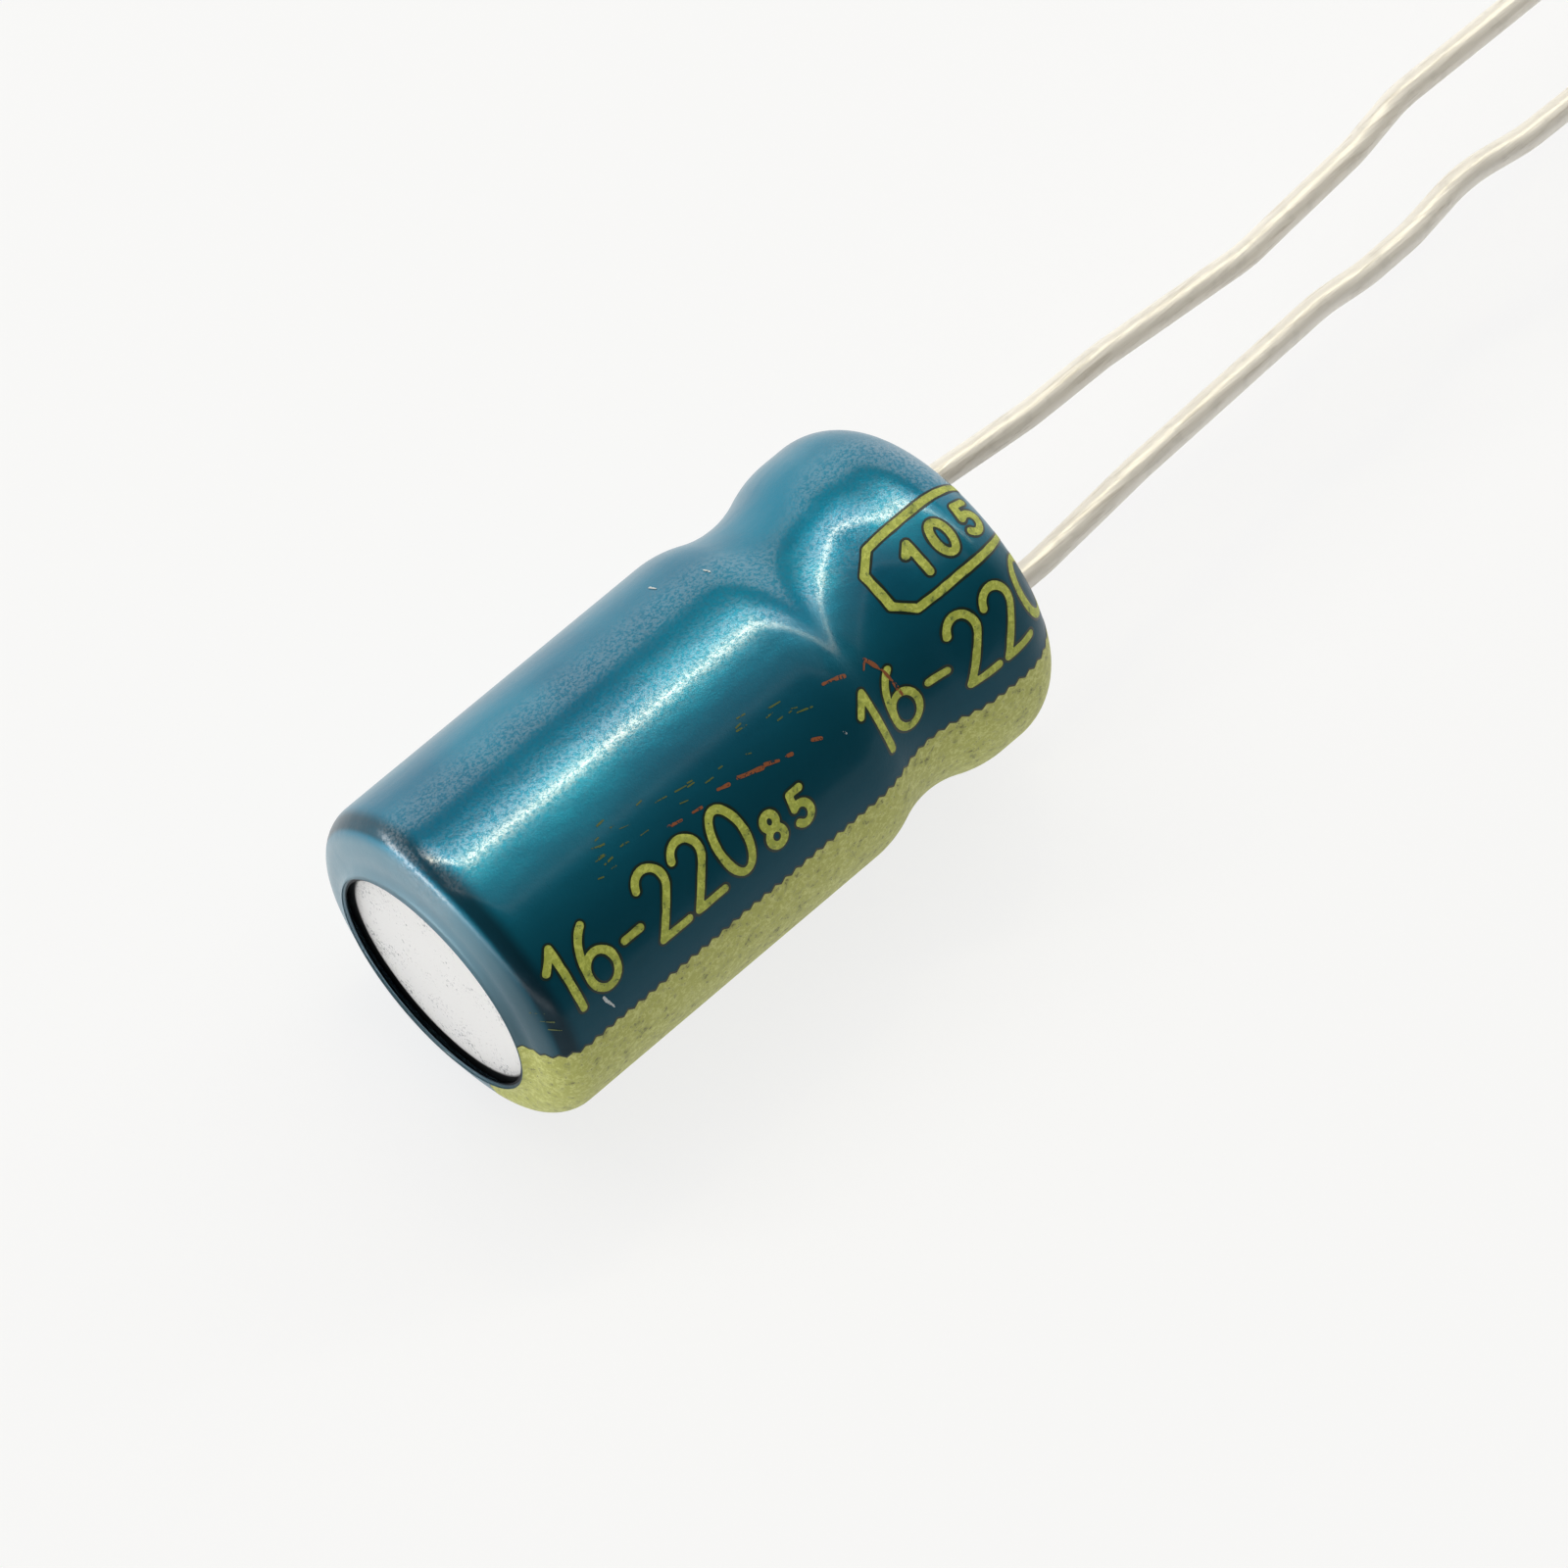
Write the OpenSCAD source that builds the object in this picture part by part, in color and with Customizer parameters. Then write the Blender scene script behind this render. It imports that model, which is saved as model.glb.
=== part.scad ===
// Radial electrolytic capacitor, lying on its side with both leads toward +X.
// Each piece is drawn along its own axis, flat end first, and lay_down() sets it in the part's frame:
// the origin is the middle of the seat, the plane that the body would touch a board with. The axis
// goes to +X, and +Y points from the cathode lead to the anode lead.

/* [Can] */
// Outside diameter of the aluminium can
can_d = 6.3; // [5.8:0.1:8]
// Length of the can, from its flat end to the crown of the curled rim
can_l = 12; // [11:0.5:18]
// Wall thickness of the can
can_wall = 0.3; // [0.2:0.05:0.4]
// Outside radius of the rounded corner at the flat end
end_corner_r = 0.6; // [0.45:0.05:0.9]
// Outside radius of the curled rim
rim_r = 1.15; // [0.9:0.05:1.3]

/* [Crimp groove] */
// Distance from the crown of the rim back to the middle of the groove
groove_back = 3.1; // [2.8:0.1:3.6]
// Depth of the groove
groove_depth = 0.3; // [0.15:0.05:0.4]
// Radius across the bottom of the groove, on the outside of the can
groove_r = 2.1; // [1.7:0.1:2.3]
// Radius of the two shoulders that lead into the groove, on the outside of the can
shoulder_r = 1.9; // [1.5:0.1:2.1]

/* [Sleeve] */
// Wall thickness of the shrunk sleeve
sleeve_wall = 0.1; // [0.06:0.01:0.15]
// Radius of the opening that the folded sleeve leaves on the flat end
front_open_r = 2.19; // [1.9:0.01:2.3]
// How far the free edge of the sleeve lifts off the flat end
lip_h = 0.18; // [0.1:0.01:0.25]
// How far round the curled rim the sleeve reaches, where 90 is the crown
rear_fold_deg = 74; // [50:1:85]
// Width of the printed stripe, as an angle round the sleeve
stripe_deg = 80; // [60:1:120]
// Angle from the cathode lead down to the middle of the stripe
stripe_turn = 21; // [-30:1:30]

/* [Rubber seal] */
// Height of the seal
seal_h = 3.7; // [3.2:0.1:4.2]
// Chamfer round the inner face of the seal
seal_chamfer = 0.2; // [0.1:0.05:0.3]
// Clearance between the seal and the can
seal_fit = 0.02; // [0.01:0.01:0.04]
// Clearance between each stem and its hole through the seal
hole_fit = 0.02; // [0.01:0.01:0.04]

/* [Leads] */
// Diameter of the lead wires
lead_d = 0.5; // [0.4:0.05:0.6]
// Distance between the two leads where they leave the seal
lead_pitch = 2.5; // [2.2:0.1:2.7]
// Reach of the anode lead past the seat
anode_len = 21.5; // [18:0.5:30]
// Reach of the cathode lead past the seat
cathode_len = 17; // [16:0.5:24]
// Radius of the slight bends in the leads, on their centre line
bend_r = 3.5; // [2.5:0.5:5]

/* [Tabs] */
// Diameter of the round stem that passes through the seal
stem_d = 0.9; // [0.7:0.05:1]
// How far the top of the stem lies below the outer face of the seal
stem_recess = 0.1; // [0:0.05:0.3]
// Thickness of the flattened paddle
tab_t = 0.2; // [0.12:0.02:0.24]
// Width of the flattened paddle
tab_w = 1.3; // [1:0.1:1.5]
// Length of the paddle below the top of the winding
tab_l = 4.6; // [3:0.2:5]

/* [Winding] */
// Thickness of the anode foil
anode_foil_t = 0.09; // [0.07:0.01:0.12]
// Thickness of the cathode foil
cathode_foil_t = 0.03; // [0.02:0.01:0.06]
// Thickness of each separator paper
paper_t = 0.04; // [0.03:0.005:0.06]
// Space left between neighbouring layers
layer_gap = 0.008; // [0.006:0.002:0.016]
// Radius of the empty core that the winding mandrel leaves
core_r = 0.45; // [0.4:0.05:0.6]
// How far the papers stand past the foils at each end
paper_margin = 0.25; // [0.1:0.05:0.4]
// Thickness of the tape that closes the winding
tape_t = 0.05; // [0.03:0.01:0.06]
// Width of the tape
tape_w = 4.4; // [3:0.2:5]
// Space round the winding inside the can
wind_clear = 0.1; // [0.06:0.02:0.2]
// Headroom between the winding and the start of the groove's shoulder
wind_headroom = 0.2; // [0.1:0.05:0.6]

/* [Hidden] */

$fn = 96;
eps = 0.01;        // overrun of a cutting shape past the face that it cuts
arc_step = 9;      // degrees between points on a profile's arcs

sleeve_blue = [0.03, 0.29, 0.39];
stripe_gold = [0.58, 0.60, 0.30];
bare_aluminium = [0.86, 0.86, 0.85];
rubber_black = [0.10, 0.10, 0.11];
tinned = [0.74, 0.72, 0.66];
etched_foil = [0.62, 0.62, 0.60];
plain_foil = [0.76, 0.76, 0.75];
inner_paper = [0.85, 0.78, 0.62];
outer_paper = [0.88, 0.82, 0.68];
tape_amber = [0.80, 0.62, 0.30];

can_r = can_d / 2;
lead_r = lead_d / 2;
stem_r = stem_d / 2;

// The folded end of the sleeve leaves the flat end on an arc that starts where the corner ends.
fold_r = can_r - end_corner_r;
fold_run = fold_r - front_open_r;
fold_arc_r = (fold_run * fold_run + lip_h * lip_h) / (2 * lip_h);
fold_deg = 2 * atan2(lip_h, fold_run);
fold_mid_r = fold_arc_r - sleeve_wall / 2;
fold_front = fold_arc_r - fold_mid_r * cos(fold_deg) + sleeve_wall / 2;

// Stations along the axis, from the foremost point of the sleeve's rounded free edge
flat_z = fold_front;
corner_z = flat_z + end_corner_r;
crown_z = flat_z + can_l;
rim_z = crown_z - rim_r;
groove_z = crown_z - groove_back;
rim_open_r = can_r - rim_r;
seat_z = max(crown_z, rim_z + (rim_r + sleeve_wall) * sin(rear_fold_deg));

// Two equal-tangent arcs make each flank of the groove.
flank = sqrt(2 * groove_depth * (groove_r + shoulder_r) - groove_depth * groove_depth);
flank_deg = asin(flank / (groove_r + shoulder_r));

// Seal, and the weld on top of each stem, which stands just past the seat
weld_rise = 0.08;
seal_top = crown_z - can_wall - seal_fit;
seal_bottom = seal_top - seal_h;
stem_top = seal_top - stem_recess;
weld_top = seat_z + weld_rise;

// Winding: one pitch holds both foils and both papers.
pitch = anode_foil_t + cathode_foil_t + 2 * paper_t + 4 * layer_gap;
inner_paper_r = core_r + anode_foil_t + layer_gap;
cathode_foil_r = inner_paper_r + paper_t + layer_gap;
outer_paper_r = cathode_foil_r + cathode_foil_t + layer_gap;
can_in_r = can_r - can_wall;
wind_limit_r = can_in_r - wind_clear;
turns = floor((wind_limit_r - tape_t - 2 * layer_gap - tab_t - core_r) / pitch - 0.5);
tape_r = core_r + turns * pitch;
wind_r = tape_r + tape_t + pitch / 2 + tab_t + layer_gap;

// The winding stands on the rounded inner corner of the can.
in_corner_r = end_corner_r - can_wall;
corner_bite = max(0, wind_r - (can_in_r - in_corner_r));
corner_ride = in_corner_r - sqrt(in_corner_r * in_corner_r - corner_bite * corner_bite);
wind_z = flat_z + can_wall + corner_ride + seal_fit;
wind_top = groove_z - flank - wind_headroom;
wind_h = wind_top - wind_z;
foil_z = wind_z + paper_margin;
foil_h = wind_h - 2 * paper_margin;

// Each paddle lies on the outer face of its foil, on the turn that comes nearest to its stem.
function nearest_turn(foil_out_r) =
    max(0, min(turns - 2, round((lead_pitch / 2 - tab_t / 2 - foil_out_r) / pitch)));
anode_seat_r = core_r + anode_foil_t + pitch * nearest_turn(core_r + anode_foil_t);
cathode_half_r = cathode_foil_r + cathode_foil_t + pitch / 2;
cathode_seat_r = cathode_half_r + pitch * nearest_turn(cathode_half_r);
neck_l = 0.55;     // length over which the paddle swells into the round stem
paddle_out = 0.12; // how far the paddle stands above the winding

bend_draw = 0.002; // how much a bend is thinner than the straight runs, in radius
bend_lap_l = 0.08; // how far a bend reaches into each run

// Straight runs of each lead from the weld on, and the bend in degrees that follows each of them,
// positive toward +Y. A last straight run then takes the lead to its full reach.
anode_runs = [0.5, 1.9, 1.5, 2.9, 2.5, 0.9];
anode_bends_deg = [-5.5, 4.6, -4.1, 9, 6, -11];
cathode_runs = [0.8, 2.4, 4.4, 0.5, 0.7, 0.85, 0.6];
cathode_bends_deg = [4.2, -2.3, -8.4, 7.4, 7.1, -17.5, 8];

// Points on an arc about (r, z), as [radius, height], from angle a0 to a1, where 0 points outward
// and 90 points along the axis. They stand arc_step apart from a0 on, so a longer arc from the same
// start shares them.
function arc(r, z, radius, a0, a1) =
    let (n = ceil(abs(a1 - a0) / arc_step), step = a1 > a0 ? arc_step : -arc_step)
    [for (i = [0:n]) let (a = i < n ? a0 + i * step : a1) [r + radius * cos(a), z + radius * sin(a)]];

// Outline of the can from the end of the flat end's corner to the curl, set off by o.
// The curl runs round to rim_deg.
function can_line(o, rim_deg) = concat(
    arc(fold_r, corner_z, end_corner_r + o, -90, 0),
    arc(can_r - shoulder_r, groove_z - flank, shoulder_r + o, 0, flank_deg),
    arc(can_r - groove_depth + groove_r, groove_z, groove_r - o, 180 + flank_deg, 180 - flank_deg),
    arc(can_r - shoulder_r, groove_z + flank, shoulder_r + o, -flank_deg, 0),
    arc(rim_open_r, rim_z, rim_r + o, 0, rim_deg)
);

function reversed(points) = [for (i = [len(points) - 1:-1:0]) points[i]];

// Direction of a lead after its first n bends, and how far along the axis it has come by then
function heading(bends, n) = n == 0 ? 0 : heading(bends, n - 1) + bends[n - 1];
function advance(runs, bends, n) = n == 0 ? 0 :
    let (a = heading(bends, n - 1), b = heading(bends, n))
    advance(runs, bends, n - 1) + runs[n - 1] * cos(a) + bend_r * abs(sin(b) - sin(a));

// Sets a piece that is drawn along its own axis in the part's frame
module lay_down() {
    translate([-seat_z, 0, 0])
        rotate([0, 90, 0])
            rotate([0, 0, 90])
                children();
}

// Part of the sleeve from angle a0 to a1 round the axis: a shrunk tube with its free edge lifted off
// the flat end, drawn into the groove and folded over the rim
module shrunk_tube(a0, a1) {
    front_z = flat_z - fold_arc_r;
    edge = [fold_r - fold_mid_r * sin(fold_deg), front_z + fold_mid_r * cos(fold_deg)];
    rotate_extrude(start = a0, angle = a1 - a0) polygon(concat(
        arc(edge[0], edge[1], sleeve_wall / 2, 90 + fold_deg, 270 + fold_deg),
        arc(fold_r, front_z, fold_arc_r - sleeve_wall, 90 + fold_deg - arc_step / 2, 90 + arc_step / 2),
        can_line(sleeve_wall, rear_fold_deg),
        reversed(can_line(0, rear_fold_deg)),
        arc(fold_r, front_z, fold_arc_r, 90 + arc_step / 2, 90 + fold_deg - arc_step / 2)
    ));
}

// One sleeve, blue but for the printed stripe on the cathode's side
module sleeve() {
    stripe_from = 180 + stripe_turn - stripe_deg / 2;
    stripe_to = stripe_from + stripe_deg;
    lay_down() {
        color(stripe_gold) shrunk_tube(stripe_from, stripe_to);
        color(sleeve_blue) shrunk_tube(stripe_to, stripe_from + 360);
    }
}

// Deep-drawn cup with a rolled-in groove and a curled rim
module can() {
    lay_down() color(bare_aluminium) rotate_extrude() polygon(concat(
        [[0, flat_z]],
        can_line(0, 90),
        reversed(can_line(-can_wall, 90)),
        [[0, flat_z + can_wall]]
    ));
}

// Rubber bung, shaped by the groove and the curl, with a hole for each stem
module end_seal() {
    lay_down() color(rubber_black) difference() {
        rotate_extrude() intersection() {
            polygon(concat([[0, flat_z]], can_line(-can_wall - seal_fit, 90), [[0, seal_top]]));
            polygon([
                [0, seal_bottom], [can_in_r - groove_depth - seal_chamfer, seal_bottom],
                [can_in_r, seal_bottom + groove_depth + seal_chamfer], [can_in_r, seal_top], [0, seal_top]
            ]);
        }
        for (side = [-1, 1])
            translate([side * lead_pitch / 2, 0, seal_bottom - eps])
                cylinder(r = stem_r + hole_fit, h = seal_h + 2 * eps);
    }
}

// Half a ring for x > 0 whose centre is moved out by lift, with straight ends back to x = 0
module half_ring(r, wall, lift) {
    translate([lift, 0]) intersection() {
        difference() {
            circle(r = r + wall);
            circle(r = r);
        }
        translate([0, -r - wall - 1]) square([r + wall + 1, 2 * (r + wall + 1)]);
    }
    if (lift > 0)
        for (y = [r, -r - wall])
            translate([0, y]) square([lift, wall]);
}

// One strip of the winding: turns of two half rings each, the second moved by half a pitch.
// Layers that lie outside a paddle are lifted over it on that side.
module wound_strip(r, wall, first, count, z, h) {
    lift = tab_t + layer_gap;
    translate([0, 0, z]) linear_extrude(height = h)
        for (turn = [first:first + count - 1]) {
            right_r = r + turn * pitch;
            left_r = right_r + pitch / 2;
            half_ring(right_r, wall, right_r >= anode_seat_r ? lift : 0);
            translate([0, -pitch / 2]) mirror([1, 0])
                half_ring(left_r, wall, left_r >= cathode_seat_r ? lift : 0);
        }
}

module anode_foil() {
    lay_down() color(etched_foil)
        wound_strip(core_r, anode_foil_t, 0, turns, foil_z, foil_h);
}

module cathode_foil() {
    lay_down() color(plain_foil)
        wound_strip(cathode_foil_r, cathode_foil_t, 0, turns, foil_z, foil_h);
}

module inner_separator() {
    lay_down() color(inner_paper)
        wound_strip(inner_paper_r, paper_t, 0, turns, wind_z, wind_h);
}

module outer_separator() {
    lay_down() color(outer_paper)
        wound_strip(outer_paper_r, paper_t, 0, turns, wind_z, wind_h);
}

// One turn of tape round the finished winding
module winding_tape() {
    lay_down() color(tape_amber)
        wound_strip(tape_r, tape_t, 0, 1, wind_z + (wind_h - tape_w) / 2, tape_w);
}

// Paddle section for x > 0: the foil's own curve at seat_r, moved out by the paddle's thickness
module paddle_section(seat_r) {
    intersection() {
        difference() {
            translate([tab_t, 0]) circle(r = seat_r);
            circle(r = seat_r);
        }
        translate([0, -tab_w / 2]) square([seat_r + 1, tab_w]);
    }
}

// Flattened paddle that swells into a round stem, with a tapered weld to the wire on top.
// The paddle lies at seat_r about y, and the stem stands at half the lead pitch.
module tab(seat_r, y) {
    paddle_top = wind_top + paddle_out;
    translate([0, y, wind_top - tab_l]) linear_extrude(height = tab_l + paddle_out)
        paddle_section(seat_r);
    hull() {
        translate([0, y, paddle_top]) linear_extrude(height = eps) paddle_section(seat_r, $fn = 48);
        translate([lead_pitch / 2, 0, paddle_top + neck_l - eps]) cylinder(r = stem_r, h = eps, $fn = 32);
    }
    translate([lead_pitch / 2, 0, paddle_top + neck_l])
        cylinder(r = stem_r, h = stem_top - paddle_top - neck_l);
    translate([lead_pitch / 2, 0, stem_top])
        cylinder(r1 = stem_r, r2 = lead_r, h = weld_top - stem_top);
}

module anode_tab() {
    lay_down() color(bare_aluminium) tab(anode_seat_r, 0);
}

module cathode_tab() {
    lay_down() color(bare_aluminium) mirror([1, 0, 0]) tab(cathode_seat_r, -pitch / 2);
}

// A bend in the plane of x and z, positive toward +x. It is drawn down by bend_draw, as bent wire is,
// and reaches bend_lap_l into the runs on either side.
module bend(turn) {
    lap_deg = bend_lap_l / bend_r * 180 / PI;
    mirror([turn > 0 ? 1 : 0, 0, 0])
        translate([-bend_r, 0, 0])
            rotate([90, 0, 0])
                rotate([0, 0, -lap_deg])
                    rotate_extrude(angle = abs(turn) + 2 * lap_deg)
                        translate([bend_r, 0]) circle(r = lead_r - bend_draw, $fn = 32);
}

// The rest of a lead from its straight run i on
module wire(runs, bends, reach, i = 0) {
    if (i < len(runs)) {
        turn = bends[i];
        cylinder(r = lead_r, h = runs[i], $fn = 32);
        translate([0, 0, runs[i]]) {
            bend(turn);
            translate([sign(turn) * bend_r * (1 - cos(turn)), 0, bend_r * sin(abs(turn))])
                rotate([0, turn, 0])
                    wire(runs, bends, reach, i + 1);
        }
    } else {
        last = (reach - advance(runs, bends, i)) / cos(heading(bends, i));
        cylinder(r = lead_r, h = last, $fn = 32);
    }
}

module anode_lead() {
    lay_down() color(tinned) translate([lead_pitch / 2, 0, weld_top])
        wire(anode_runs, anode_bends_deg, seat_z + anode_len - weld_top);
}

module cathode_lead() {
    lay_down() color(tinned) translate([-lead_pitch / 2, 0, weld_top])
        wire(cathode_runs, cathode_bends_deg, seat_z + cathode_len - weld_top);
}

sleeve();
can();
end_seal();
anode_foil();
inner_separator();
cathode_foil();
outer_separator();
winding_tape();
anode_tab();
cathode_tab();
anode_lead();
cathode_lead();
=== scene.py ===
"""Looks of a radial electrolytic capacitor that lies on its side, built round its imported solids."""
import math
import random

import bpy
import numpy as np
from bpy.props import FloatProperty, FloatVectorProperty, PointerProperty, StringProperty
from mathutils import Matrix, Vector, noise


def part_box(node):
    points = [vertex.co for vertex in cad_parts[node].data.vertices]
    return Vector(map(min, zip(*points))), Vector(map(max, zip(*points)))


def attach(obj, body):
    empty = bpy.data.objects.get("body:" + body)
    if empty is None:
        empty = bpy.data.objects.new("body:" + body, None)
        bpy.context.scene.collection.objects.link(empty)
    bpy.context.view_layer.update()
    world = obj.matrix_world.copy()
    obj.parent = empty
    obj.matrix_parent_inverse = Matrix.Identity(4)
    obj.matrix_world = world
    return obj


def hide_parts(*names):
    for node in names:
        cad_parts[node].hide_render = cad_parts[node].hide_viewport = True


bl_info = {
    "name": "Radial electrolytic capacitor",
    "version": (1, 0, 0),
    "blender": (4, 5, 0),
    "location": "View3D > Sidebar > Capacitor",
    "description": "Builds the capacitor's sleeve, print and leads round its solids, and a studio",
    "category": "Add Mesh",
}

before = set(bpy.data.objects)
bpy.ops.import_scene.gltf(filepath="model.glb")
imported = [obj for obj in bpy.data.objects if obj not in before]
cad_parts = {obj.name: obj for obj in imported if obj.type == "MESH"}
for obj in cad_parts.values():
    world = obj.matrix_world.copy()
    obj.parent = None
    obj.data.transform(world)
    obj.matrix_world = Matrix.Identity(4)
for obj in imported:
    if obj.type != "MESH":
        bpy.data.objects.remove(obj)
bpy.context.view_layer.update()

MM = 0.001  # one millimetre in metres
FRONT_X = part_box("sleeve")[0].x
BODY_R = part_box("sleeve")[1].z
CAN_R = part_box("can")[1].z
CAN_FLAT_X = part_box("can")[0].x
CAN_CROWN_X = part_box("can")[1].x
PASS = {"FINISHED"}

# The film's outer face lies this far inside the solid's, which leaves room for the inks on it
FILM_INSET = 0.012 * MM
# Heights of the inks over the film's outer face
GROUND_LIFT = 0.003 * MM
INK_LIFT = 0.006 * MM
FLECK_LIFT = 0.009 * MM

EDGE_W = 0.06 * MM  # width of the dark line round the film's opening: the film's dark cut edge with painted shadow of the gap under it
END_SHADE_R = 2.12  # in millimetres: past this the flat end is painted dark, a painted shadow of the film's overhanging edge


def srgb(red, green, blue):
    """A colour as the eye names it, from 0 to 255, as linear values."""
    def linear(c):
        c /= 255
        return c / 12.92 if c <= 0.04045 else ((c + 0.055) / 1.055) ** 2.4
    return (linear(red), linear(green), linear(blue))


def length(name, text, millimetres):
    return FloatProperty(name=name, description=text, default=millimetres * MM, unit="LENGTH",
                         precision=5)


def angle_of(name, text, degrees):
    return FloatProperty(name=name, description=text, default=math.radians(degrees),
                         subtype="ANGLE")


def text_of(name, text, value):
    return StringProperty(name=name, description=text, default=value)


def colour(name, text, value):
    return FloatVectorProperty(name=name, description=text, default=value, subtype="COLOR",
                               min=0, max=1)


# Properties

class SleeveSettings(bpy.types.PropertyGroup):
    """Sizes and colours of the shrunk film."""
    wall: length("Wall", "Thickness of the film", 0.1)
    corner_r: length("Corner radius", "Outside radius of the can's corner under the film", 0.6)
    opening_r: length("Opening radius", "Radius of the film's opening on the flat end", 2.19)
    lip_h: length("Lip lift", "How far the free edge lifts off the flat end", 0.18)
    groove_back: length("Groove distance", "From the rim's crown to the middle of the groove", 3.1)
    groove_depth: length("Groove depth", "Depth of the crimp groove", 0.3)
    groove_r: length("Groove radius", "Radius across the bottom of the groove", 2.1)
    shoulder_r: length("Shoulder radius", "Radius of the shoulders beside the groove", 1.9)
    rim_r: length("Rim radius", "Outside radius of the curled rim", 1.15)
    fold_angle: angle_of("Rear fold", "How far the film reaches round the rim", 74)
    film: colour("Film", "Colour of the film where it lies in even light", srgb(10, 132, 162))
    film_deep: colour("Film, deep", "Colour of the film in its darker patches", srgb(8, 114, 145))
    # Painted shade: the print's side of the film is painted darker, standing for the dark it reflects
    # there
    film_side_shade: colour("Film, print side", "Colour of the film beside the stripe", srgb(5, 70, 88))
    # Painted reflection: a pale tone laid on the front fold and on the far side, standing for the
    # light they reflect
    film_sheen: colour("Film, fold", "Colour of the film where it is stretched thin",
                      srgb(150, 172, 182))
    # Painted shade: the dark tone of the free edge, which is the film's own dark cut edge with
    # painted shadow of the gap under it, and of the corner band
    film_edge_shade: colour("Film, free edge", "Colour of the film's cut edge and of its gathered corner",
                      srgb(4, 16, 26))


class PrintSettings(bpy.types.PropertyGroup):
    """The stripe and the figures printed on the film."""
    stripe_from: angle_of("Stripe from", "Angle of the stripe's upper edge", 161)
    stripe_to: angle_of("Stripe to", "Angle of the stripe's lower edge", 241)
    tooth_pitch: length("Tooth pitch", "Distance between the teeth of the stripe's edges", 0.245)
    tooth_h: length("Tooth height", "Height of the small teeth", 0.085)
    figure_h: length("Figure height", "Height of the large figures", 1.57)
    small_h: length("Small figure height", "Height of the small figures", 0.86)
    stroke: length("Stroke", "Width of the print's strokes", 0.15)
    repeat: length("Repeat", "Distance after which the line of figures starts again", 7.25)
    figures: text_of("Large figures", "Figures on each side of the dash", "16-220")
    small_figures: text_of("Small figures", "Figures that end the line", "85")
    framed: text_of("Framed figures", "Figures inside the frame", "105")
    ink: colour("Figure ink", "Yellow-green ink of the figures", srgb(172, 182, 78))
    ink_bright: colour("Figure ink, bright", "Brighter grains of the figures", srgb(206, 214, 104))
    ink_dull: colour("Figure ink, dull", "Darker grains of the figures", srgb(100, 118, 54))
    stripe: colour("Stripe ink", "Gold-green ink of the stripe", srgb(188, 192, 100))
    stripe_bright: colour("Stripe ink, bright", "Brighter grains of the stripe",
                          srgb(216, 220, 138))
    stripe_dull: colour("Stripe ink, dull", "Darker grains of the stripe", srgb(120, 122, 58))
    fleck: colour("Fleck", "Orange-brown flecks of stray ink", srgb(160, 92, 52))


class LeadSettings(bpy.types.PropertyGroup):
    """Sizes and colour of the two wires."""
    diameter: length("Wire diameter", "Diameter of the tinned wire", 0.5)
    pitch: length("Pitch", "Distance between the leads at the seat", 2.5)
    start: length("Start", "Distance from the seat to the start of the wires", 0.08)
    anode_reach: length("Anode reach", "Reach of the longer lead past the seat", 21.5)
    cathode_reach: length("Cathode reach", "Reach of the shorter lead past the seat", 17)
    bend_r: length("Bend radius", "Radius of the slight bends", 3.5)
    tin: colour("Tin", "Colour of the tinned surface", srgb(251, 246, 237))


class StageSettings(bpy.types.PropertyGroup):
    """Floor, lamps and camera."""
    floor: colour("Floor", "Colour of the floor", (0.9, 0.9, 0.9))
    lamp_height: length("Lamp height", "Height of the lamps over the part", 450)
    camera_azimuth: angle_of("Camera azimuth", "Turn of the camera round the part", -43.64)
    camera_elevation: angle_of("Camera elevation", "Height of the camera as an angle", 61.7)
    camera_distance: length("Camera distance", "From the camera to the body", 160)


# Node trees

class Tree:
    """Adds nodes to one node tree: each from its type, its settings and its sockets' values."""

    def __init__(self, tree):
        self.tree = tree
        tree.nodes.clear()

    def node(self, kind, settings=None, inputs=None):
        node = self.tree.nodes.new(kind)
        for key, value in (settings or {}).items():
            setattr(node, key, value)
        for key, value in (inputs or {}).items():
            self.feed(node.inputs[key], value)
        return node

    def feed(self, socket, value):
        if isinstance(value, Value):
            value = value.socket
        if isinstance(value, bpy.types.NodeSocket):
            self.tree.links.new(value, socket)
        elif isinstance(value, tuple) and len(value) == 3 and socket.type == "RGBA":
            socket.default_value = (*value, 1)
        else:
            socket.default_value = value

    def value(self, kind, settings=None, inputs=None, output=0):
        return Value(self, self.node(kind, settings, inputs).outputs[output])

    def mix(self, factor, first, second):
        """A colour between two others."""
        node = self.node("ShaderNodeMix", {"data_type": "RGBA"}, {0: factor, 6: first, 7: second})
        return node.outputs[2]

    def vector(self, operation, inputs):
        return self.node("ShaderNodeVectorMath", {"operation": operation}, inputs).outputs[0]

    def place(self):
        """The place on the object, in millimetres."""
        where = self.node("ShaderNodeTexCoord").outputs["Object"]
        return self.vector("SCALE", {0: where, "Scale": 1 / MM})

    def parts(self, vector):
        split = self.node("ShaderNodeSeparateXYZ", None, {0: vector})
        return [Value(self, split.outputs[i]) for i in range(3)]

    def grain(self, where, scale, detail=3, roughness=0.5):
        """Noise from 0 to 1 with scale features to the millimetre."""
        inputs = {"Vector": where, "Scale": scale, "Detail": detail, "Roughness": roughness}
        return self.value("ShaderNodeTexNoise", None, inputs)


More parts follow.
